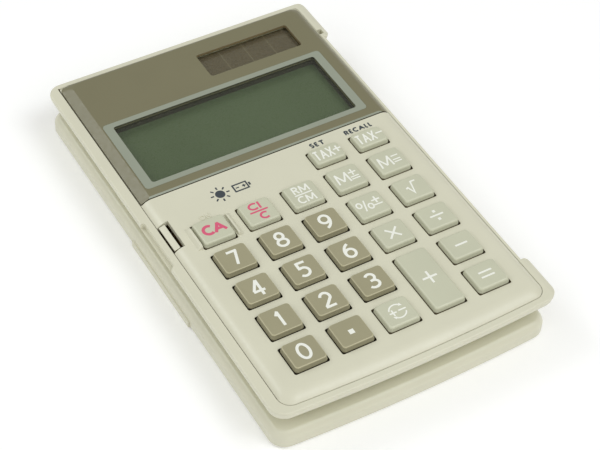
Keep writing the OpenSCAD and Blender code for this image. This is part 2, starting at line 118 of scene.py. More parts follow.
def key_kind(name, row):
    if name.isdigit() or name == "decimal":
        return "number"
    if row == 0:
        return "short"
    return "tall" if name == "plus" else "function"


# name: column, row, kind
KEYS = {"key_" + name: (column, row, key_kind(name, row)) for row, names in enumerate(KEY_GRID)
        for column, name in enumerate(names.split()) if name != "-"}


def key_place(name):
    """Centre and opening length of a key."""
    column, row, kind = KEYS[name]
    y = ROWS[row]
    length = OPENING_L
    if kind == "short":
        length = SHORT_OPENING_L
    if kind == "tall":
        length = OPENING_L + ROWS[4] - ROWS[5]
        y = (ROWS[4] + ROWS[5]) / 2
    return COLUMNS[column], y, length


# ---- Mesh building ----

def bow(x):
    """How far the bowed front edge lies behind its middle at x."""
    return 1.2 * (x / 40) ** 2


def curve(cx, cy, rx, ry, start, end, steps=14):
    """Points of an elliptic arc, angles in degrees."""
    angles = [math.radians(start + (end - start) * i / steps) for i in range(steps + 1)]
    return [(cx + rx * math.cos(a), cy + ry * math.sin(a)) for a in angles]


def arc(cx, cy, r, start, end, steps):
    return curve(cx, cy, r, r, start, end, steps)


def circle(cx, cy, r, steps):
    return arc(cx, cy, r, 0, 360, steps)[:-1]


def bowed_front(x0, x1, front, r0, r1, steps):
    """Bowed front edge between two rounded corners, from left to right."""
    flat = arc(x0, front + bow(x0) + r0, r0, 180, 270, 8)
    flat += [(x, front + bow(x)) for x in (x0 + (x1 - x0) * i / steps for i in range(1, steps))]
    return flat + arc(x1, front + bow(x1) + r1, r1, 270, 360, 8)


def bowed_ring(left, right, front, rear, front_r, rear_r, z):
    """Rounded rectangle with a bowed front edge, counter-clockwise, at height z."""
    flat = bowed_front(left + front_r, right - front_r, front, front_r, front_r, 16)
    flat += arc(right - rear_r, rear - rear_r, rear_r, 0, 90, 8)
    flat += arc(left + rear_r, rear - rear_r, rear_r, 90, 180, 8)
    return [(x, y, z) for x, y in flat]


def rounded_ring(x, y, w, l, r, z, corner=5):
    """Rounded rectangle on its centre, counter-clockwise, at height z."""
    flat = arc(x - w / 2 + r, y - l / 2 + r, r, 180, 270, corner)
    flat += arc(x + w / 2 - r, y - l / 2 + r, r, 270, 360, corner)
    flat += arc(x + w / 2 - r, y + l / 2 - r, r, 0, 90, corner)
    flat += arc(x - w / 2 + r, y + l / 2 - r, r, 90, 180, corner)
    return [(x, y, z) for x, y in flat]


def mesh_object(name, verts, faces):
    """Object whose faces all look outwards."""
    mesh = bpy.data.meshes.new(name)
    mesh.from_pydata(verts, [], faces)
    mesh.update()
    work = bmesh.new()
    work.from_mesh(mesh)
    bmesh.ops.recalc_face_normals(work, faces=work.faces)
    work.to_mesh(mesh)
    work.free()
    made = bpy.data.objects.new(name, mesh)
    bpy.context.scene.collection.objects.link(made)
    return made


def loft(name, *stacks):
    """One object of closed solids, each through rings of equal length, that don't touch."""
    verts, faces = [], []
    for rings in stacks:
        count, first = len(rings[0]), len(verts)
        last = first + (len(rings) - 1) * count
        verts += [p for ring in rings for p in ring]
        faces.append(tuple(first + i for i in reversed(range(count))))
        for a in range(first, last, count):
            for i in range(count):
                j = (i + 1) % count
                faces.append((a + i, a + j, a + count + j, a + count + i))
        faces.append(tuple(last + i for i in range(count)))
    return mesh_object(name, verts, faces)


def prism_rings(outline, z0, z1):
    """Prism along Z from points (x, y)."""
    return [[(x, y, z) for x, y in outline] for z in (z0, z1)]


def box_rings(a, b):
    """Box between two opposite corners."""
    return prism_rings([(a[0], a[1]), (b[0], a[1]), (b[0], b[1]), (a[0], b[1])], a[2], b[2])


def block(x, y, w, l, z0, z1):
    """Box on its centre."""
    return box_rings((x - w / 2, y - l / 2, z0), (x + w / 2, y + l / 2, z1))


def slab_rings(x, y, w, l, r, z0, z1):
    """Upright block with rounded corners on its centre."""
    return [rounded_ring(x, y, w, l, r, z) for z in (z0, z1)]


def post_rings(x, y, r, z0, z1, steps=32):
    """Upright cylinder."""
    return prism_rings(circle(x, y, r, steps), z0, z1)


def posts(places, r, z0, z1):
    return [post_rings(x, y, r, z0, z1) for x, y in places]


def profile_rings(points, y0, y1):
    """Prism along Y from points (x, z)."""
    return [[(x, y, z) for x, z in points] for y in (y0, y1)]


def across_rings(x, z, r, y0, y1):
    """Cylinder along Y."""
    return profile_rings(circle(x, z, r, 40), y0, y1)


def combine(target, other, operation):
    """Applies a boolean of another object to target and removes the other."""
    modifier = target.modifiers.new("combine", "BOOLEAN")
    modifier.operation = operation
    modifier.object = other
    modifier.solver = "MANIFOLD"
    apply_modifiers(target)
    bpy.data.objects.remove(other)
    return target


def apply_modifiers(target):
    """Turns the modified shape into the object's own mesh."""
    bpy.context.view_layer.update()
    graph = bpy.context.evaluated_depsgraph_get()
    mesh = bpy.data.meshes.new_from_object(target.evaluated_get(graph))
    target.modifiers.clear()
    target.data = mesh


def cut(target, *stacks):
    return combine(target, loft("cutter", *stacks), "DIFFERENCE")


def add(target, *stacks):
    return combine(target, loft("adder", *stacks), "UNION")


def lipped_cutter(x, y, w, l, r, z0, z_top, lip, steps=4):
    """Cutter for an opening whose upper edge is rounded over by lip."""
    rings = [rounded_ring(x, y, w, l, r, z0), rounded_ring(x, y, w, l, r, z_top - lip)]
    for i in range(1, steps + 1):
        a = math.pi / 2 * i / steps
        out = lip * (1 - math.cos(a))
        z = z_top + 0.003 - lip * (1 - math.sin(a))
        rings.append(rounded_ring(x, y, w + 2 * out, l + 2 * out, r + out, z))
    rings.append(rounded_ring(x, y, w + 2 * lip, l + 2 * lip, r + lip, z_top + 1.5))
    return rings


def edge_profile(r_low, r_high, z0, z1, steps):
    """(inset, z) pairs up a wall whose lower and upper edges are rounded."""
    turns = [math.pi / 2 * i / steps for i in range(steps + 1)]
    return [(r_low * (1 - math.sin(a)), z0 + r_low * (1 - math.cos(a))) for a in turns] + [
        (r_high * (1 - math.cos(a)), z1 - r_high * (1 - math.sin(a))) for a in turns]


def roll_profile(angle, steps):
    """(share of the width, share of the height) of a rounded slope, from its foot."""
    a0 = math.radians(angle)
    pairs = []
    for i in range(steps + 1):
        a = a0 * (1 - i / steps)
        pairs.append((1 - math.sin(a) / math.sin(a0),
                      (math.cos(a) - math.cos(a0)) / (1 - math.cos(a0))))
    return pairs


def bowed_solid(box, front_r, rear_r, profile):
    """Rings of a bowed slab whose sides follow a profile of (inset, z)."""
    left, right, front, rear = box
    return [
        bowed_ring(left + d, right - d, front + d, rear - d,
                   max(front_r - d, 0.2), max(rear_r - d, 0.2), z)
        for d, z in profile
    ]


def soften(target, width, segments):
    """Rounds the edges."""
    modifier = target.modifiers.new("soften", "BEVEL")
    modifier.width = width
    modifier.segments = segments
    modifier.limit_method = "ANGLE"
    modifier.angle_limit = math.radians(30)
    apply_modifiers(target)


def set_shading(target, angle):
    """Smooth shading that keeps edges sharper than an angle."""
    mesh = target.data
    mesh.polygons.foreach_set("use_smooth", [True] * len(mesh.polygons))
    mesh.set_sharp_from_angle(angle=math.radians(angle))
    modifier = target.modifiers.new("weighted", "WEIGHTED_NORMAL")
    modifier.keep_sharp = True
    modifier.weight = 80
    apply_modifiers(target)


def set_materials(target, *materials):
    target.data.materials.clear()
    for material in materials:
        target.data.materials.append(material)


def finish_piece(target, body, material, nodes=(), angle=38):
    """Scales a shape to metres, shades it and ties it to its body; material is None if painted."""
    target.data.transform(Matrix.Scale(MM, 4))
    set_shading(target, angle)
    if material:
        set_materials(target, material)
    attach(target, body)
    if nodes:
        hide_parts(*nodes)


# ---- Materials ----

MOTTLE_SCALE, GLOSS_SCALE, BRUSHED_SCALE, LCD_SCALE = 70, 900, 2500, 2600  # cells per metre


def linear(rgb):
    """Linear colour of an sRGB colour given in 0 to 255."""
    out = []
    for c in rgb:
        c /= 255
        out.append(c / 12.92 if c <= 0.04045 else ((c + 0.055) / 1.055) ** 2.4)
    return (*out, 1.0)


def shade(colour, factor):
    return (*[min(c * factor, 1.0) for c in colour[:3]], 1.0)


def new_material(name):
    material = bpy.data.materials.new(name)
    material.use_nodes = True
    tree = material.node_tree
    return material, tree, tree.nodes["Principled BSDF"]


def feed(tree, socket, value):
    """Links another node's output to a socket, or sets the socket to a plain value."""
    if isinstance(value, bpy.types.NodeSocket):
        tree.links.new(value, socket)
    else:
        socket.default_value = value


def node(tree, kind, **values):
    """New node; names that start with in_ are its inputs, the others its settings."""
    made = tree.nodes.new(kind)
    for key, value in values.items():
        if key.startswith("in_"):
            feed(tree, made.inputs[key[3:].replace("_", " ")], value)
        else:
            setattr(made, key, value)
    return made


def object_place(tree):
    """Coordinates fixed to the object, from one node for the whole material."""
    place = tree.nodes.get("Place") or node(tree, "ShaderNodeTexCoord", name="Place")
    return place.outputs["Object"]


def noise(tree, scale, detail=2.0):
    """Noise with a number of cells per metre."""
    return node(tree, "ShaderNodeTexNoise", in_Vector=object_place(tree), in_Scale=scale,
                in_Detail=detail, in_Roughness=0.5).outputs["Fac"]


def map_range(tree, source, from_min, from_max, to_min=0.0, to_max=1.0):
    return node(tree, "ShaderNodeMapRange", in_Value=source, in_From_Min=from_min,
                in_From_Max=from_max, in_To_Min=to_min, in_To_Max=to_max).outputs["Result"]


def spread(tree, scale, detail, low, high):
    """Noise whose middle part runs from low to high."""
    return map_range(tree, noise(tree, scale, detail), 0.3, 0.7, low, high)


def mix(tree, factor, a, b):
    return node(tree, "ShaderNodeMix", data_type="RGBA", in_Factor=factor, in_A=a,
                in_B=b).outputs["Result"]


def mottled(tree, scale, detail, a, b):
    """Colour that wanders between a and b."""
    return mix(tree, spread(tree, scale, detail, 0, 1), a, b)


def calc(tree, operation, *values):
    made = node(tree, "ShaderNodeMath", operation=operation)
    for socket, value in zip(made.inputs, values):
        feed(tree, socket, value)
    return made.outputs[0]


def bump(tree, height, strength, depth):
    """Normal of a surface with a fine relief, its depth in metres."""
    return node(tree, "ShaderNodeBump", in_Strength=strength, in_Distance=depth,
                in_Height=height).outputs["Normal"]


def finish_shader(tree, shader, colour, gloss, normal=None):
    feed(tree, shader.inputs["Base Color"], colour)
    feed(tree, shader.inputs["Roughness"], gloss)
    if normal:
        feed(tree, shader.inputs["Normal"], normal)


def key_colours(tree, top, worn_and_highlit, side):
    """Colour lightened where a key turns over its upper edge, part wear and part painted highlight,
    and darkened on its walls as painted shade.
    """
    geometry = node(tree, "ShaderNodeNewGeometry")
    split = node(tree, "ShaderNodeSeparateXYZ", in_Vector=geometry.outputs["Normal"])
    up = split.outputs["Z"]
    ramp = node(tree, "ShaderNodeValToRGB", in_Fac=up)
    stops = ramp.color_ramp.elements
    for stop, position in zip(stops, (0.35, 0.98)):
        stop.position = position
        stop.color = (0, 0, 0, 1)
    for position in (0.6, 0.9):
        stops.new(position).color = (1, 1, 1, 1)
    rounded = mix(tree, ramp.outputs["Color"], top, worn_and_highlit)
    return mix(tree, map_range(tree, up, 0.12, 0.45), side, rounded)


def plastic(name, rgb, rough=0.42, grain=0.10, grain_size=0.00022, vary=0.03, edge=None, side=0.8):
    """Moulded plastic with fine grain, slight mottling and uneven gloss.

    Keys also give edge and side: how far their upper edges are lightened, part wear and part
    painted highlight, and how far their walls are darkened as painted shade.
    """
    material, tree, shader = new_material(name)
    base = linear(rgb)
    colour = mottled(tree, MOTTLE_SCALE, 3, shade(base, 1 - vary), shade(base, 1 + vary))
    if edge:
        colour = key_colours(tree, colour, shade(base, edge), shade(base, side))
    finish_shader(tree, shader, colour, spread(tree, GLOSS_SCALE, 2, rough - 0.05, rough + 0.05),
                  bump(tree, noise(tree, 1 / grain_size), grain, 0.00003))
    return material


def metal(name, rgb, rough=0.3):
    """Bare metal with slight stains and a brushed gloss."""
    material, tree, shader = new_material(name)
    base = linear(rgb)
    shader.inputs["Metallic"].default_value = 1.0
    finish_shader(tree, shader, mottled(tree, 350, 4, shade(base, 0.88), base),
                  spread(tree, BRUSHED_SCALE, 3, rough - 0.08, rough + 0.1),
                  bump(tree, noise(tree, BRUSHED_SCALE), 0.15, 0.00002))
    return material


def clear_pane(name, rgb):
    """Clear acrylic: light goes straight through, with a Fresnel reflection on top."""
    material, tree, shader = new_material(name)
    tree.nodes.remove(shader)
    see = node(tree, "ShaderNodeBsdfTransparent", in_Color=linear(rgb))
    shine = node(tree, "ShaderNodeBsdfGlossy", in_Roughness=spread(tree, 500, 2, 0.04, 0.05),
                 in_Normal=bump(tree, noise(tree, 90), 0.01, 0.00001))
    # Share of light mirrored: 4% head on and more at a glancing angle
    facing = node(tree, "ShaderNodeLayerWeight", in_Blend=0.5).outputs["Facing"]
    head_on = 0.04
    mirrored = calc(tree, "MULTIPLY_ADD", calc(tree, "POWER", facing, 5.0), 1 - head_on, head_on)
    both = node(tree, "ShaderNodeMixShader", in_Fac=mirrored)
    feed(tree, both.inputs[1], see.outputs["BSDF"])
    feed(tree, both.inputs[2], shine.outputs["BSDF"])
    feed(tree, tree.nodes["Material Output"].inputs["Surface"], both.outputs["Shader"])
    return material


def solar_material():
    """Brown amorphous silicon: cells side by side with fine scribed lines between them."""
    material, tree, shader = new_material("solar_silicon")
    split = node(tree, "ShaderNodeSeparateXYZ", in_Vector=object_place(tree))
    cells = 4
    width = SOLAR[2] * MM / cells
    start = (SOLAR[0] - SOLAR[2] / 2) * MM
    shift = calc(tree, "SUBTRACT", split.outputs["X"], start - width / 2)
    repeat = calc(tree, "PINGPONG", shift, width / 2)
    line_outer, line_inner = 0.00016, 0.00008
    line = map_range(tree, repeat, width / 2 - line_outer, width / 2 - line_inner)
    silicon = mottled(tree, 160, 4, linear((96, 83, 62)), linear((100, 87, 66)))
    finish_shader(tree, shader, mix(tree, line, silicon, linear((128, 117, 96))),
                  spread(tree, 800, 2, 0.26, 0.3))
    return material


def lcd_material():
    """Grey-green liquid crystal under a satin polariser."""
    material, tree, shader = new_material("lcd_green")
    finish_shader(tree, shader, mottled(tree, 35, 2, linear((80, 95, 66)), linear((88, 103, 74))),
                  spread(tree, LCD_SCALE, 2, 0.26, 0.34),
                  bump(tree, noise(tree, LCD_SCALE), 0.05, 0.00002))
    return material


# Order of the painted-shade and painted-highlight materials on a shell, after its own
PAINT_OPENING_SHADE, PAINT_GAP_SHADE, PAINT_SOFT_GAP_SHADE, PAINT_EDGE_HIGHLIGHT = 1, 2, 3, 4

CREAM = plastic("case_cream", (214, 212, 191), rough=0.35, vary=0.018)
# Key materials: lighter upper edges, part wear and part painted highlight, and walls darkened as
# painted shade
FUNCTION = plastic("function_key_grey", (197, 198, 175), rough=0.42, edge=1.08, side=0.88)
NUMBER = plastic("number_key_taupe", (158, 153, 124), rough=0.38, edge=1.4, side=0.74)
TAUPE = plastic("panel_taupe", (121, 117, 90), rough=0.36, grain=0.06, vary=0.02)
# Printed frame colour, also used as a painted highlight along the panel's front edge
FRAME_PRINT_AND_EDGE_HIGHLIGHT = plastic("window_frame_print_and_edge_highlight", (148, 154, 138), rough=0.4, grain=0.04, vary=0.02)
WHITE_INK = plastic("legend_white", (238, 239, 230), rough=0.45, grain=0.05, vary=0.01)
RED_INK = plastic("legend_red", (214, 92, 122), rough=0.45, grain=0.05, vary=0.02)
DARK_INK = plastic("print_dark", (60, 68, 74), rough=0.5, grain=0.05, vary=0.04)
# Dark colours painted on walls in gaps and openings, as painted shade
GAP_SHADE = plastic("key_gap_shade", (62, 53, 32), rough=0.9, vary=0.05)
SOFT_GAP_SHADE = plastic("case_gap_shade", (118, 104, 72), rough=0.9, vary=0.05)
DARK = plastic("dark_plastic", (38, 38, 34), rough=0.6, vary=0.05)
OPENING_SHADE = plastic("opening_wall_shade", (58, 56, 42), rough=0.6, vary=0.05)
PANE = clear_pane("clear_acrylic", (248, 250, 246))
LCD = lcd_material()
SOLAR_FACE = solar_material()
REAR_GLASS = plastic("rear_glass", (120, 132, 112), rough=0.12, grain=0.02, vary=0.02)
REFLECTOR = metal("reflector_foil", (190, 196, 186), rough=0.35)
STEEL = metal("screw_steel", (196, 194, 188), rough=0.32)
CELL_STEEL = metal("cell_steel", (205, 204, 200), rough=0.25)
BRASS = metal("contact_brass", (196, 160, 92), rough=0.3)
RUBBER = plastic("keypad_rubber", (196, 196, 188), rough=0.75, grain=0.2, vary=0.03)
BOARD = plastic("circuit_board", (132, 104, 62), rough=0.5, grain=0.3, grain_size=0.0006,
                vary=0.12)
RESIN = plastic("chip_resin", (24, 24, 25), rough=0.25, vary=0.2)
SLEEVE = plastic("capacitor_sleeve", (38, 50, 88), rough=0.3, vary=0.06)
FILM = plastic("cable_film", (190, 150, 84), rough=0.35, vary=0.08)
WIRE = plastic("wire_sleeve", (120, 38, 34), rough=0.4, vary=0.08)

# ---- Camera ----

# Fitted to the corners of the key openings in the photo; angles in degrees
AZIMUTH, ELEVATION, ROLL = (math.radians(a) for a in (-32.13, 46.44, 2.89))
TARGET = Vector((-5.83, -14.63, 16.0)) * MM
DISTANCE = 477.7 * MM
SENSOR_WIDTH, FOCAL_LENGTH = 36, 105.38

back = Vector((math.sin(AZIMUTH) * math.cos(ELEVATION),
               -math.cos(AZIMUTH) * math.cos(ELEVATION), math.sin(ELEVATION)))
right = Vector((math.cos(AZIMUTH), math.sin(AZIMUTH), 0))
up = back.cross(right)
right_rolled = math.cos(ROLL) * right + math.sin(ROLL) * up
up_rolled = -math.sin(ROLL) * right + math.cos(ROLL) * up
camera_data = bpy.data.cameras.new("camera")
camera_data.sensor_width = SENSOR_WIDTH
camera_data.lens = FOCAL_LENGTH
camera = bpy.data.objects.new("camera", camera_data)
bpy.context.scene.collection.objects.link(camera)
camera.matrix_world = Matrix.Translation(TARGET + back * DISTANCE) @ Matrix(
    (right_rolled, up_rolled, back)).transposed().to_4x4()
bpy.context.scene.camera = camera

# ---- Top case ----

def make_top_case():
    rings = [bowed_ring(CASE_LEFT, CASE_RIGHT, CASE_FRONT, CASE_REAR, CASE_FRONT_R, CASE_REAR_R, z)
             for z in (SHELF_TOP, SEAM_Z - 0.12)]
    rings.append(bowed_ring(CASE_LEFT + 0.04, CASE_RIGHT - 0.04, CASE_FRONT + 0.04,
                            CASE_REAR - 0.02, CASE_FRONT_R - 0.04, CASE_REAR_R - 0.02,
                            SEAM_Z - 0.03))
    foot = 0.08
    for w, h in roll_profile(45, 10):
        side = foot + (BEVEL_W - foot) * w
        front = foot + (FRONT_BEVEL_W - foot) * w
        rings.append(bowed_ring(
            CASE_LEFT + side, CASE_RIGHT - side, CASE_FRONT + front, CASE_REAR - 0.3 * w - 0.02,
            CASE_FRONT_R - 1.2 * w, CASE_REAR_R - 0.2 * w, SEAM_Z + (TOP_Z - SEAM_Z) * h))
    shell = loft("keyboard_case", rings)
    for low, high in GUARDS_X:
        add(shell, guard_rings(low, high))
    # Hollow under the keyboard and under the display
    wall = 1.5
    inside = loft("inside", bowed_solid(
        (CASE_LEFT + wall, CASE_RIGHT - wall, CASE_FRONT + wall, CASE_REAR - wall),
        2.2, 1.0, [(0, SHELF_Z), (0, PLATE_UNDER)]))
    cut(inside, box_rings((-FAR_X, PANEL_FRONT - 1.5, 13.05), (FAR_X, FAR_Y, TOP_Z)))
    combine(shell, inside, "DIFFERENCE")
    # Seat of the display panel, nothing of the case behind it, and the groove beside it
    seat_front, above = PANEL_FRONT - PANEL_GAP, TOP_Z + 1
    cut(shell, box_rings((-FAR_X, seat_front, PANEL_Z - 0.05),
                         (CASE_RIGHT - 0.17, CASE_REAR - 0.22, above)))
    cut(shell, box_rings((-FAR_X, seat_front, SEAM_Z - 0.06), (FAR_X, FAR_Y, above)))
    cut(shell, box_rings((-FAR_X, PANEL_FRONT - 0.15, SHELF_TOP + 0.1),
                         (CASE_LEFT + 0.3, FAR_Y, TOP_Z)))
    # Openings under the window and the solar cell, and for the keys
    x, y, w, l = SOLAR
    cut(shell, slab_rings(*WINDOW, OPENING_CORNER, SHELF_Z, TOP_Z),
        block(x, y, w + 1, l + 1, SHELF_Z, TOP_Z))
    cut(shell, *[lipped_cutter(kx, ky, OPENING_W, length, OPENING_R, SHELF_Z, TOP_Z, 0.07)
                 for kx, ky, length in map(key_place, KEYS)])
    # Bosses for the screws; the case's are shorter under the display
    add(shell, *[post_rings(px, py, 1.9, 9.65, 13.55 if py > 0 else PLATE_UNDER + 0.5)
                 for px, py in CASE_SCREWS])
    add(shell, *posts(BOARD_SCREWS, 1.3, 11.3, PLATE_UNDER + 0.5))
    cut(shell, *posts(CASE_SCREWS, 0.95, 9, 12.9), *posts(BOARD_SCREWS, 0.6, 11, 14))
    # Slot for the cover's hook
    cut(shell, box_rings((CASE_LEFT - 1, SLOT_Y[0], SHELF_Z), (SLOT_RIGHT, SLOT_Y[1], above)))
    paint_openings(shell, CREAM)
    finish_piece(shell, "body", None, ["top_case"])


def guard_rings(low, high):
    """Ramp that rises towards the key beside it, with rounded ends."""
    inward = 1 if high > low else -1
    height, edge_r = 1.15, 0.2
    y0, y1 = -10.1, -1.5
    # Cross profile from the foot: (share of the width, share of the height)
    slope = ((0, -0.02), (0.06, 0.03), (0.14, 0.14), (0.62, 0.86), (0.7, 0.95), (0.8, 0.99),
             (0.94, 1.0))
    # Along the rib: (share of the height, y)
    ends = ((0.08, y0), (0.5, y0 + 0.12), (0.8, y0 + 0.35), (0.95, y0 + 0.65), (1, y0 + 1.0),
            (1, y1 - 1.6), (0.85, y1 - 0.9), (0.5, y1 - 0.35), (0.12, y1))
    rings = []
    for share, y in ends:
        points = [(low, TOP_Z - 0.3)]
        points += [(low + (high - low) * t, TOP_Z + height * share * h) for t, h in slope]
        for a in (math.radians(60), math.radians(90)):
            points.append((high - inward * edge_r * (1 - math.sin(a)) * 0.2,
                           TOP_Z + height * share - edge_r * share * (1 - math.cos(a)) * 0.5))
        points.append((high, TOP_Z - 0.3))
        rings.append([(px, y, pz) for px, pz in points])
    return rings


def paint_openings(target, material):
    """Painted shade on the walls of the display, solar and key openings."""
    set_materials(target, material, OPENING_SHADE, GAP_SHADE, SOFT_GAP_SHADE)
    places = [(*key_place(name), PAINT_GAP_SHADE if KEYS[name][2] == "number" else PAINT_SOFT_GAP_SHADE)
              for name in KEYS]
    windows = ((WINDOW, 0.1, PAINT_OPENING_SHADE), (SOLAR, 0.7, PAINT_SOFT_GAP_SHADE))
    for polygon in target.data.polygons:
        c, n = polygon.center, polygon.normal
        if c.y <= PANEL_FRONT - 1 and abs(n.z) <= 0.5 and PLATE_UNDER - 0.2 < c.z < TOP_Z - 0.1:
            for x, y, length, index in places:
                if abs(c.x - x) < OPENING_W / 2 + 0.05 and abs(c.y - y) < length / 2 + 0.05:
                    polygon.material_index = index
        for (x, y, w, l), margin, index in windows:
            within = abs(c.x - x) <= w / 2 + margin and abs(c.y - y) <= l / 2 + margin
            if within and abs(n.z) < 0.5 and c.z < TOP_Z - 0.3:
                polygon.material_index = index


make_top_case()

# ---- Display panel ----

def panel_ring(left, right, front, rear, r, z):
    """Outline of the display panel: square at the front, rounded at the rear."""
    flat = [(left, front), (right, front)]
    flat += arc(right - r, rear - r, r, 0, 90, 6)
    flat += arc(left + r, rear - r, r, 90, 180, 6)
    return [(x, y, z) for x, y in flat]


def make_panel():
    left, right = CASE_LEFT + 0.25, CASE_RIGHT - 0.2
    rear = CASE_REAR - 0.25
    rings = [panel_ring(left, right, PANEL_FRONT, rear, PANEL_R, z)
             for z in (PANEL_Z - 0.04, SEAM_Z - 0.05)]
    # Flat bevel at the left, a small one at the front, rolled ones at the right and the rear
    for w, h in roll_profile(45, 16):
        front_in = 0.5 * max(0, (h - 0.8) / 0.2)
        rings.append(panel_ring(
            left + LEFT_BEVEL_W * h, right - BEVEL_W * w, PANEL_FRONT + front_in,
            rear - 1.8 * w, PANEL_R + 0.6 * w, SEAM_Z + (TOP_Z - SEAM_Z) * h))
    panel = loft("display_bezel", rings)
    below, above = PANEL_Z - 1, TOP_Z + 1
    x, y, w, l = WINDOW
    cut(panel, slab_rings(x, y, w, l, OPENING_CORNER, below, above))
    cut(panel, slab_rings(x, y, w + 2 * RING_W, l + 2 * RING_L, 1.2, TOP_Z - PANE_T - 0.05, above))
    x, y, w, l = SOLAR
    cut(panel, lipped_cutter(x, y, w, l, OPENING_CORNER, below, TOP_Z, 0.12))
    cut(panel, slab_rings(x, y, w + 1.6, l + 1.6, 1.0, below, PANEL_Z + 0.75))
    paint_openings(panel, TAUPE)
    # Painted shade on the panel's front face, for the dark gap in front of it, and a painted
    # highlight as a pale line along its front edge
    panel.data.materials.append(FRAME_PRINT_AND_EDGE_HIGHLIGHT)
    for polygon in panel.data.polygons:
        facing, y = polygon.normal.y, polygon.center.y
        if facing < -0.9 and y < PANEL_FRONT + 0.1:
            polygon.material_index = PAINT_GAP_SHADE
        elif facing < -0.3 and y < PANEL_FRONT + 0.6:
            polygon.material_index = PAINT_EDGE_HIGHLIGHT
    finish_piece(panel, "body", None, ["display_panel"])


def make_window_print():
    x, y, w, l = WINDOW
    low, high = PRINT_Z
    made = loft("display_frame_print", slab_rings(
        x, y, w + 2 * RING_W - 0.1, l + 2 * RING_L - 0.1, 1.15, low, high))
    cut(made, slab_rings(x, y, w, l, OPENING_CORNER, low - 1, high + 1))
    finish_piece(made, "body", FRAME_PRINT_AND_EDGE_HIGHLIGHT)


make_panel()
make_window_print()

# ---- Lower case ----

# Side of the rim, drawn in towards its foot: (inset, height)
RIM_PROFILE = [(1.3, 11.5), (0.85, 11.6), (0.52, 11.85), (0.32, 12.3), (0.17, 12.9), (0.05, 13.5),
               (0.0, 13.85), (0.02, 14.05), (0.09, 14.25), (0.2, 14.39), (0.34, 14.47),
               (0.5, RIM_Z)]


def rim_ring(d, z):
    """Outline of the rim and its two hinge lugs, drawn in by d."""
    left, right, lug = RIM_LEFT + d, RIM_RIGHT - d, LUG_RIGHT - d
    front, rear = -HALF_LENGTH + d, HALF_LENGTH - d
    lug_rear, lug_front = LUG_FRONT_Y[1] - d, LUG_REAR_Y[0] + d
    r_left, r_lug, r_rear, r_end = 5.0 - d, 4.5 - d, 4.2 - d, 1.6 - d
    flat = bowed_front(left + r_left, lug - r_lug, front, r_left, r_lug, 24)
    flat += arc(lug - r_end, lug_rear - r_end, r_end, 0, 90, 5)
    flat += [(right, lug_rear), (right, lug_front)]
    flat += arc(lug - r_end, lug_front + r_end, r_end, 270, 360, 5)
    flat += arc(lug - 2.6 + d, rear - 2.6 + d, 2.6 - d, 0, 90, 6)
    flat += arc(left + r_rear, rear - r_rear, r_rear, 90, 180, 8)
    return [(x, y, z) for x, y in flat]


def sweep_rings():
    """What the hinge's sweep takes off the outer upper edge of the lugs."""
    top_r = 4.4
    a_side = math.degrees(math.acos((LUG_RIGHT + 0.3 - HINGE_X) / top_r))
    a_top = math.degrees(math.asin((RIM_Z - 0.02 - BODY_AXIS_Z) / top_r))
    profile = arc(HINGE_X, BODY_AXIS_Z, top_r, a_side, a_top, 10)
    profile += [(profile[-1][0], RIM_Z + 1), (profile[0][0], RIM_Z + 1)]
    return profile_rings(profile, -HALF_LENGTH - 1, HALF_LENGTH + 1)


def add_ears(shell, axis_z, left, right, low, high):
    """Blocks and barrels of the two hinges."""
    for y0 in EARS_Y:
        add(shell, box_rings((left, y0, low), (right, y0 + EAR_W, high)))
        add(shell, across_rings(HINGE_X, axis_z, BARREL_R, y0, y0 + EAR_W))


def tub_inside():
    """Hollow of the tub, less the bosses round the screws, the door and the cell."""
    wall = 1.4
    left, right, front, rear = TUB
    inside = loft("tub_inside", bowed_solid(
        (left + wall, right - wall, front + wall, rear - wall), 2.6, 2.6,
        [(0, FLOOR_TOP), (0, SHELF_TOP + 0.5)]))
    cut(inside, *posts(CASE_SCREWS, 2.8, BOTTOM_Z, 9.6))
    cut(inside, box_rings((DOOR_X[0] - 1.5, DOOR_Y[0] - 1.5, BOTTOM_Z),
                          (DOOR_X[1] + 1.5, DOOR_Y[1] + 1.5, 8.2)))
    x, y, r = CELL
    cut(inside, post_rings(x, y, r + 1, BOTTOM_Z, 9.9))
    add(inside, post_rings(x, y, r + 0.1, FLOOR_TOP, 11, 48))
    return add(inside, box_rings((x - r - 2, y - 2.2, FLOOR_TOP + 0.2), (x - r + 1, y + 2.2, 11)))


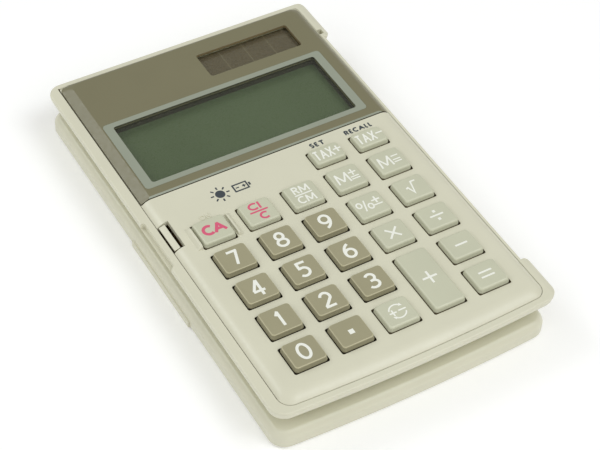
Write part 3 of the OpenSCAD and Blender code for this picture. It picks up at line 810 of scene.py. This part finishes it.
def make_lower_case():
    shell = loft("rim_and_tub", [rim_ring(d, z) for d, z in RIM_PROFILE])
    cut(shell, sweep_rings())
    add_ears(shell, BODY_AXIS_Z, HINGE_X - BARREL_R, HINGE_X + BARREL_R, BODY_AXIS_Z, SHELF_Z + 0.2)
    add(shell, bowed_solid(TUB, 4, 4, edge_profile(1.2, 0.1, BOTTOM_Z, SHELF_TOP, 6)))
    # Inside of the rim
    above, gap_left = RIM_Z + 1, CASE_LEFT - SEAM_GAP
    cut(shell, bowed_solid((gap_left, CASE_RIGHT + SEAM_GAP, CASE_FRONT - SEAM_GAP,
                            CASE_REAR + SEAM_GAP), 3.8, 1.4, [(0, SHELF_TOP), (0, above)]))
    combine(shell, tub_inside(), "DIFFERENCE")
    # Groove beside the display panel, and the deep slot round the catch bar
    cut(shell, box_rings((gap_left, PANEL_FRONT, SHELF_Z + 0.4),
                         (CASE_LEFT + 0.3, CASE_REAR, above)))
    cut(shell, box_rings((gap_left, SLOT_Y[0], SHELF_Z + 0.5), (SLOT_RIGHT, SLOT_Y[1], above)))
    bar_left, bar_right = BAR
    catch = loft("bar", profile_rings(
        [(bar_left + 0.6, SHELF_Z + 0.2), (bar_right, SHELF_Z + 0.2), (bar_right, 15.05),
         (-37.95, 15.12), (-37.95, 15.4), (bar_left, 14.85), (bar_left, 14.45),
         (bar_left + 0.6, 14.2)], SLOT_Y[0] + 0.6, SLOT_Y[1] - 0.25))
    soften(catch, 0.12, 2)
    combine(shell, catch, "UNION")
    # Holes for the screws, and the opening of the battery door
    below = BOTTOM_Z - 1
    cut(shell, *posts(CASE_SCREWS, 2.1, below, FLOOR_TOP))
    cut(shell, *posts(CASE_SCREWS, 1.1, below, 10))
    cut(shell, box_rings((DOOR_X[0], DOOR_Y[0], below), (DOOR_X[1], DOOR_Y[1], FLOOR_TOP)))
    cut(shell, post_rings(*DOOR_SCREW, 0.6, BOTTOM_Z, FLOOR_TOP + 2))
    # Thumb recess in the left rim, with sloping ends
    out, deep = RIM_LEFT - 1, RIM_LEFT + 1.3
    cut(shell, prism_rings([(out, -11.25), (RIM_LEFT + 0.1, -11.25), (deep, -10.3), (deep, 6.9),
                            (deep - 0.4, 7.25), (out, 7.25)], SHELF_Z + 1.2, above))
    # Notch in the rear lug, and the bores of the hinges
    cut(shell, box_rings((40.4, LUG_REAR_Y[0] + 1.1, RIM_Z - 1.8),
                         (41.9, LUG_REAR_Y[0] + 3.2, above)))
    cut(shell, across_rings(HINGE_X, BODY_AXIS_Z, BORE_R, -60.5, EARS_Y[0] + EAR_W + 1),
        across_rings(HINGE_X, BODY_AXIS_Z, BORE_R, EARS_Y[1] - 1, 60.5))
    # Painted shade in the depths of the groove and the slot
    set_materials(shell, CREAM, SOFT_GAP_SHADE)
    for polygon in shell.data.polygons:
        x, y, z = polygon.center
        past_gap = x > CASE_LEFT - 0.25
        in_slot = past_gap and x < SLOT_RIGHT + 0.1 and SLOT_Y[0] - 0.05 < y < SLOT_Y[1] + 0.05
        by_panel = past_gap and x < CASE_LEFT + 0.4 and y > PANEL_FRONT
        if SHELF_Z + 0.3 < z < 14.3 and (in_slot or by_panel):
            polygon.material_index = 1
    finish_piece(shell, "body", None, ["lower_case"])


make_lower_case()

# ---- Cover ----

def make_cover():
    # Straight side up to a crisp line, then a broad rounded shoulder
    side = COVER_FOOT + [(0, COVER_SHOULDER_Z - 0.12)]
    side += [(0.03 + COVER_SHOULDER_W * w, COVER_SHOULDER_Z + (COVER_H - COVER_SHOULDER_Z) * h)
             for w, h in roll_profile(45, 9)]
    shell = loft("flip_cover", bowed_solid(COVER, 4.8, 4.6, side))
    left, right, front, rear = COVER
    cut(shell, [bowed_ring(left + COVER_T, right - COVER_T, front + COVER_T, rear - COVER_T,
                           3.5, 1.4, z) for z in (-1, COVER_H - COVER_T)])
    cut(shell, box_rings((38, EARS_Y[0], -1), (FAR_X, EARS_Y[1] + EAR_W, COVER_H + 1)))
    add_ears(shell, COVER_AXIS_Z, 37, HINGE_X, COVER_H - 4, COVER_H - 0.004)
    ridge = loft("ridge", box_rings((RIM_LEFT, -20.6, 0.02), (left + 0.5, 13.4, 2.2)))
    soften(ridge, 0.25, 3)
    combine(shell, ridge, "UNION")
    hook_top = COVER_H - COVER_T + 0.5
    add(shell, profile_rings([(-37.75, 0), (-37, 0), (-37, hook_top), (-37.75, hook_top),
                              (-37.75, 0.6), (-38.05, 0.3), (-38.05, 0)], -6.1, 3))
    cut(shell, *[across_rings(HINGE_X, COVER_AXIS_Z, BORE_R, *ends) for ends in (
        (EARS_Y[0] - 0.6, EARS_Y[0] + EAR_W + 1), (EARS_Y[1] - 1, EARS_Y[1] + EAR_W + 0.6))])
    finish_piece(shell, "cover", CREAM, ["cover"])


make_cover()

# ---- Screws under the body ----

def make_screws(name, node_name, places, head, shank):
    """Flat-headed screws with a cross recess; head and shank are (radius, low, high)."""
    head_r, low, high = head
    rim = 0.12
    arm, half_w, deep = head_r * 0.62, head_r * 0.14, (high - low) * 0.7
    made = None
    for x, y in places:
        levels = ((head_r - rim, low), (head_r, low + rim), (head_r, high))
        screw = loft("screw", [[(px, py, z) for px, py in circle(x, y, r, 32)] for r, z in levels])
        add(screw, post_rings(x, y, *shank, 20))
        cut(screw, prism_rings(cross(x, y, arm, half_w), low - 1, low + deep))
        made = screw if made is None else combine(made, screw, "UNION")
    made.name = name
    finish_piece(made, "body", STEEL, nodes=[node_name], angle=30)


def cross(x, y, arm, half_w):
    """Outline of an upright cross."""
    flat = [(arm, half_w), (half_w, half_w), (half_w, arm), (-half_w, arm), (-half_w, half_w),
            (-arm, half_w), (-arm, -half_w), (-half_w, -half_w), (-half_w, -arm), (half_w, -arm),
            (half_w, -half_w), (arm, -half_w)]
    return [(x + px, y + py) for px, py in flat]


make_screws("case_screw_set", "case_screws", CASE_SCREWS,
            (1.8, BOTTOM_Z + 0.25, FLOOR_TOP - 0.01), (0.9, FLOOR_TOP - 0.1, 12.6))
make_screws("door_screw_set", "door_screw", [DOOR_SCREW],
            (1.6, BOTTOM_Z + 0.15, BOTTOM_Z + 0.74), (0.55, BOTTOM_Z + 0.7, FLOOR_TOP + 1))

# ---- Keys ----

# Rounding of the top edge: (inset, drop below the top) pairs from the wall to the top face
SOFT_EDGE = [(0.10, 1.15), (0.13, 0.8), (0.17, 0.6), (0.24, 0.4), (0.34, 0.24), (0.47, 0.12),
             (0.62, 0.045), (0.8, 0.0)]
CRISP_EDGE = [(0.12, 1.1), (0.20, 0.45), (0.22, 0.32), (0.27, 0.19), (0.35, 0.09), (0.45, 0.03),
              (0.56, 0.0)]


def make_key(name):
    x, y, opening = key_place(name)
    number = KEYS[name][2] == "number"
    w, l = OPENING_W - 2 * KEY_GAP, opening - 2 * KEY_GAP
    rings = [rounded_ring(x, y, w, l, KEY_R, z, 6)
             for z in (KEY_BOTTOM, TOP_Z - 0.05, TOP_Z + 0.2)]
    rings += [rounded_ring(x, y, w - 2 * inset, l - 2 * inset, KEY_R, KEY_TOP - drop, 6)
              for inset, drop in (CRISP_EDGE if number else SOFT_EDGE)]
    cap = loft(name + "_cap", rings)
    # Tabs that hold the key under the case, and the hollow round its stem
    add(cap, block(x, y, OPENING_W + 1.0, l - 3, KEY_BOTTOM, KEY_BOTTOM + 1.1))
    hollow = loft("hollow", block(x, y, w - 2, l - 2, KEY_BOTTOM - 1, KEY_TOP - 1.3))
    cut(hollow, post_rings(x, y, 1.6, KEY_BOTTOM - 2, KEY_TOP))
    combine(cap, hollow, "DIFFERENCE")
    # The walls below the case's top face are in the shade of the gap
    set_materials(cap, *((NUMBER, GAP_SHADE) if number else (FUNCTION, SOFT_GAP_SHADE)))
    for polygon in cap.data.polygons:
        polygon.material_index = int(polygon.center.z < TOP_Z - 0.06)
    finish_piece(cap, name, None, [name])


for key_name in KEYS:
    make_key(key_name)

# ---- Legends ----

def band(points, width):
    """Outline of a line of even width with mitred corners."""
    steps = [Vector((b[0] - a[0], b[1] - a[1])).normalized() for a, b in zip(points, points[1:])]
    normals = [Vector((-d.y, d.x)) for d in steps]
    left, right = [], []
    for i, (x, y) in enumerate(points):
        beside = normals[max(i - 1, 0):i + 1]
        mean = sum(beside, Vector((0, 0))).normalized()
        stretch = 1 / max(mean.dot(beside[0]), 0.4)
        for side, sign in ((left, 1), (right, -1)):
            side.append((x + mean.x * sign * stretch * width / 2,
                         y + mean.y * sign * stretch * width / 2))
    return left + right[::-1]


def bar(x, y, w, h):
    return [(x + i * w / 2, y + j * h / 2) for i, j in ((-1, -1), (1, -1), (1, 1), (-1, 1))]


def turned(x, y, outline, angle):
    """Outline turned about its middle and moved to (x, y)."""
    a = math.radians(angle)
    return [(x + px * math.cos(a) - py * math.sin(a), y + px * math.sin(a) + py * math.cos(a))
            for px, py in outline]


def plus(x, y, size, width, angle=0):
    return turned(x, y, cross(0, 0, size / 2, width / 2), angle)


def arrow_head(x, y, size, angle):
    """Triangle whose tip points along angle."""
    return turned(x, y, [(size * 0.6, 0), (-size * 0.4, size * 0.5), (-size * 0.4, -size * 0.5)],
                  angle)


def loop(cx, cy, rx, ry, steps=14):
    """Closed oval in two strokes that overlap a little."""
    return [curve(cx, cy, rx, ry, -5, 185, steps), curve(cx, cy, rx, ry, 175, 365, steps)]


# Middle lines of the strokes of each character, in a box one unit high and wide about its middle
GLYPHS = {
    "0": loop(0, 0, 0.5, 0.5, 20),
    "1": [[(-0.3, 0.27), (0.16, 0.56)], [(0.1, 0.5), (0.1, -0.5)]],
    "2": [curve(-0.02, 0.2, 0.44, 0.3, 165, -25, 16) + [(-0.42, -0.46)],
          [(-0.5, -0.5), (0.5, -0.5)]],
    "3": [curve(-0.06, 0.25, 0.42, 0.25, 150, -80, 16), [(-0.2, 0.01), (0.08, 0.01)],
          curve(-0.06, -0.24, 0.5, 0.26, 88, -150, 18)],
    "4": [[(0.2, 0.56), (-0.48, -0.2)], [(-0.54, -0.24), (0.56, -0.24)],
          [(0.2, 0.56), (0.2, -0.6)]],
    "5": [[(-0.42, 0.5), (0.42, 0.5)], [(-0.36, 0.56), (-0.36, 0.02)],
          curve(-0.1, -0.19, 0.5, 0.31, 122, -140, 18)],
    "6": loop(0.02, -0.2, 0.46, 0.3, 18) + [curve(0.42, -0.2, 0.88, 0.7, 178, 104, 12)],
    "7": [[(-0.5, 0.5), (0.48, 0.5)], [(0.4, 0.56), (-0.1, -0.5)]],
    "8": loop(0, 0.25, 0.37, 0.25, 16) + loop(0, -0.25, 0.48, 0.26, 16),
    "9": loop(-0.02, 0.2, 0.46, 0.3, 18) + [curve(-0.42, 0.2, 0.88, 0.7, -2, -76, 12)],
    "A": [[(-0.5, -0.56), (0.04, 0.52)], [(0.5, -0.56), (-0.04, 0.52)],
          [(-0.3, -0.18), (0.3, -0.18)]],
    "C": [curve(0.1, 0, 0.6, 0.5, 50, 310, 22)],
    "E": [[(-0.4, -0.5), (-0.4, 0.5)], [(-0.45, 0.5), (0.45, 0.5)], [(-0.45, 0.02), (0.35, 0.02)],
          [(-0.45, -0.5), (0.45, -0.5)]],
    "I": [[(0, -0.6), (0, 0.6)]],
    "L": [[(-0.4, 0.6), (-0.4, -0.5)], [(-0.45, -0.5), (0.45, -0.5)]],
    "M": [[(-0.5, -0.6), (-0.42, 0.5)], [(0.5, -0.6), (0.42, 0.5)], [(-0.44, 0.52), (0, -0.42)],
          [(0.44, 0.52), (0, -0.42)]],
    "N": [[(-0.45, -0.6), (-0.45, 0.6)], [(0.45, -0.6), (0.45, 0.6)],
          [(-0.45, 0.5), (0.45, -0.5)]],
    "R": [[(-0.42, -0.6), (-0.42, 0.56)], [(-0.42, 0.5), (0, 0.5)], [(-0.42, 0), (0, 0)],
          curve(-0.02, 0.25, 0.42, 0.25, 92, -92, 12), [(0.02, 0.02), (0.46, -0.56)]],
    "S": [curve(0.02, 0.26, 0.42, 0.26, 35, 250) + curve(-0.02, -0.26, 0.44, 0.26, 68, -150)],
    "T": [[(-0.5, 0.5), (0.5, 0.5)], [(0, 0.5), (0, -0.6)]],
    "X": [[(-0.5, -0.56), (0.5, 0.56)], [(-0.5, 0.56), (0.5, -0.56)]],
    "%": loop(-0.42, 0.2, 0.2, 0.26) + loop(0.42, -0.2, 0.2, 0.26) + [
        [(-0.14, -0.62), (0.14, 0.62)]],
}
GLYPHS["O"] = GLYPHS["0"]
# Width of each character against its height, and of the space between two
GLYPH_WIDTHS = {"I": 0.12, "E": 0.6, "L": 0.55, "S": 0.62, "R": 0.72, "M": 1.05, "%": 1.3,
                "A": 0.95, "X": 0.85, "N": 0.85, "O": 0.95}
USUAL_WIDTH = 0.8
LETTER_GAP = 0.05


def letter_strokes(text, x, y, height, width, weight):
    """Outlines of the strokes of a text centred on (x, y)."""
    shares = [GLYPH_WIDTHS.get(letter, USUAL_WIDTH) for letter in text]
    unit = width / (sum(shares) + LETTER_GAP * (len(text) - 1))
    at = x - width / 2
    outlines = []
    for letter, share in zip(text, shares):
        middle = at + share * unit / 2
        w, h = max(share * unit - weight, 0.1), height - weight
        low, high = y - height / 2, y + height / 2
        for line in GLYPHS[letter]:
            placed = [(middle + px * w, min(max(y + py * h, low), high)) for px, py in line]
            outlines.append(band(placed, weight))
        at += (share + LETTER_GAP) * unit
    return outlines


def ink(name, outlines, z0, z1):
    """One thin solid from outlines that may overlap."""
    made = loft(name, prism_rings(outlines[0], z0, z1))
    for outline in outlines[1:]:
        add(made, prism_rings(outline, z0, z1))
    return made


def legend(name, texts=(), shapes=()):
    """Ink on a key, about its centre.

    Texts are (text, dx, dy, height, width, weight), and shapes are outlines.
    """
    x, y, _ = key_place(name)
    outlines = [[(x + px, y + py) for px, py in outline] for outline in shapes]
    for text, dx, dy, height, width, weight in texts:
        outlines += letter_strokes(text, x + dx, y + dy, height, width, weight)
    red = name in ("key_clear_all", "key_clear")
    finish_piece(ink(name + "_legend", outlines, *INK_Z), name, RED_INK if red else WHITE_INK,
                 angle=60)


for digit in "0123456789":
    legend("key_" + digit, [(digit, 0, 0, 5.6, 2.8 if digit == "1" else 3.85, 0.8)])
legend("key_decimal", shapes=[bar(0, -0.2, 1.5, 1.5)])
legend("key_clear_all", [("C", -1.75, 0, 3.9, 3.4, 0.9), ("A", 1.6, 0, 3.9, 4.1, 0.9)])
legend("key_clear", [("CI", -0.5, 2.05, 2.8, 3.6, 0.62), ("C", 0.6, -2.05, 2.8, 2.7, 0.62)],
       [bar(0, 0, 5.4, 0.55)])
legend("key_memory_recall", [("RM", 0, 1.95, 2.8, 5.2, 0.46), ("CM", 0, -1.95, 2.8, 5.4, 0.46)],
       [bar(0, 0, 5.4, 0.42)])
MEMORY, TAX = ("M", -1.5, 0, 4.2, 4.2, 0.52), ("TAX", -1.1, 0, 3.7, 6.2, 0.48)
legend("key_memory_plus", [MEMORY],
       [plus(2.1, 1.0, 2.4, 0.45), bar(2.1, -0.75, 2.6, 0.4), bar(2.1, -1.6, 2.6, 0.4)])
legend("key_memory_minus", [MEMORY],
       [bar(2.1, 1.1, 2.2, 0.42), bar(2.1, -0.4, 2.4, 0.4), bar(2.1, -1.3, 2.4, 0.4)])
legend("key_tax_plus", [TAX], [plus(3.3, 0.2, 2.4, 0.48)])
legend("key_tax_minus", [TAX], [bar(3.3, 0.3, 2.2, 0.48)])
legend("key_percent", [("%", -1.5, 0, 4.0, 4.1, 0.45)],
       [plus(2.3, 0.9, 2.5, 0.5), bar(2.3, -0.9, 2.6, 0.42)])
ROOT_SIGN = [(-2.0, 0.1), (-1.35, 0.45), (-0.45, -2.0), (0.5, 2.2), (1.9, 2.2)]
legend("key_square_root", shapes=[band(ROOT_SIGN, 0.5)])
legend("key_multiply", shapes=[plus(0, 0, 4.9, 0.6, 45)])
legend("key_divide", shapes=[bar(0, 0, 4.2, 0.56), bar(0, 1.55, 0.85, 0.85),
                             bar(0, -1.55, 0.85, 0.85)])
legend("key_minus", shapes=[bar(0, 0, 3.8, 0.6)])
legend("key_plus", shapes=[plus(0, 0, 4.4, 0.64)])
legend("key_equals", shapes=[bar(0, 0.85, 4.1, 0.56), bar(0, -0.85, 4.1, 0.56)])
legend("key_sign", shapes=[
    band(arc(0.1, 0, 2.3, 48, 160, 14), 0.42), arrow_head(1.75, 1.65, 1.0, -40),
    band(arc(0.1, 0, 2.3, 228, 340, 14), 0.42), arrow_head(-1.55, -1.65, 1.0, 140),
    plus(-1.3, -0.1, 2.1, 0.45), bar(1.5, 0.1, 2.3, 0.45)])

# ---- Prints on the case ----

def case_print(name, outlines, material=DARK_INK, z=PRINT_Z):
    finish_piece(ink(name, outlines, *z), "body", material, angle=60)


def sun_outlines(x, y, r):
    """Disc with eight rays."""
    outlines = [circle(x, y, r * 0.5, 24)]
    for i in range(8):
        a = math.pi / 4 * i
        c, d = math.cos(a), math.sin(a)
        outlines.append(band([(x + c * r * 0.66, y + d * r * 0.66), (x + c * r, y + d * r)],
                             r * 0.16))
    return outlines


def battery_outlines(x, y, w, h):
    """Outline of a battery with a terminal and two marks inside, drawn as bars."""
    t = h * 0.16
    return [bar(x, y + h / 2 - t / 2, w, t), bar(x, y - h / 2 + t / 2, w, t),
            bar(x + w / 2 + t, y, t * 1.2, h * 0.4),
            *[bar(x + side * (w / 2 - t / 2), y, t, h) for side in (-1, 1)],
            bar(x - w * 0.22, y, w * 0.22, t * 0.8), plus(x + w * 0.22, y, w * 0.24, t * 0.8)]


case_print("set_print", letter_strokes("SET", 14.35, 10.6, 1.9, 4.9, 0.48))
case_print("recall_print", letter_strokes("RECALL", 27.95, 10.6, 1.9, 9.2, 0.48))
case_print("solar_icon", sun_outlines(-19.4, 5.9, 2.9))
case_print("battery_icon", battery_outlines(-13.0, 5.9, 4.6, 3.0))
case_print("on_emboss", letter_strokes("ON", -27.2, 0.25, 1.8, 3.4, 0.34), CREAM,
           (TOP_Z - 0.1, TOP_Z + 0.16))

# ---- Carried-over CAD nodes ----

CARRIED = {
    "display_window": PANE, "solar_window": PANE, "lcd_front_glass": LCD,
    "lcd_rear_glass": REAR_GLASS, "lcd_reflector": REFLECTOR, "lcd_holder": DARK,
    "flat_cable": FILM, "solar_cell": SOLAR_FACE, "solar_leads": WIRE, "circuit_board": BOARD,
    "control_chip": RESIN, "capacitor": SLEEVE, "board_screws": STEEL, "rubber_keypad": RUBBER,
    "button_cell": CELL_STEEL, "positive_contact": BRASS, "negative_contact": BRASS,
    "battery_door": CREAM, "hinge_link": CREAM,
}
for cad_name, cad_material in CARRIED.items():
    set_materials(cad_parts[cad_name], cad_material)

# ---- Floor and light ----

# name: (place, (width, length), watts, colour), each aimed at the origin
LIGHTS = {
    "overhead": ((0.38, -0.38, 0.87), (0.5, 0.5), 2.7, (0.93, 0.97, 1.0)),
    "front_fill": ((0.12, -0.9, 0.95), (1.5, 0.7), 3.85, (1, 1, 1)),
    "rear_left": ((-0.45, 0.58, 0.7), (0.45, 0.4), 2.1, (0.92, 0.97, 1.0)),
    "left_fill": ((-0.95, -0.15, 0.75), (0.9, 0.5), 1.8, (0.95, 0.98, 1.0)),
}


def make_floor():
    """White paper, a little below the part so that the two don't share a plane."""
    half, drop = 4.0, 0.00002
    floor = mesh_object("floor", [(-half, -half, 0), (half, -half, 0), (half, half, 0),
                                  (-half, half, 0)], [(0, 1, 2, 3)])
    floor.location.z = -drop
    material, tree, shader = new_material("floor_paper")
    finish_shader(tree, shader, mottled(tree, 3, 2, (0.96, 0.96, 0.96, 1), (0.98, 0.98, 0.98, 1)),
                  0.9)
    shader.inputs["Specular IOR Level"].default_value = 0.1
    shader.inputs["Emission Color"].default_value = (1, 1, 1, 1)
    shader.inputs["Emission Strength"].default_value = 0.09
    set_materials(floor, material)


def area_light(name, place, size, watts, colour):
    data = bpy.data.lights.new(name, "AREA")
    data.shape = "RECTANGLE"
    data.size, data.size_y = size
    data.energy = watts
    data.color = colour
    made = bpy.data.objects.new(name, data)
    bpy.context.scene.collection.objects.link(made)
    made.location = place
    made.rotation_euler = (-Vector(place)).to_track_quat("-Z", "Y").to_euler()


def make_world():
    world = bpy.data.worlds.new("studio")
    world.use_nodes = True
    background = world.node_tree.nodes["Background"]
    background.inputs["Color"].default_value = (1, 0.98, 0.93, 1)
    background.inputs["Strength"].default_value = 0.46
    bpy.context.scene.world = world


make_floor()
make_world()
for light_name, light in LIGHTS.items():
    area_light(light_name, *light)
bpy.context.scene.view_settings.view_transform = "Standard"

bpy.context.view_layer.update()
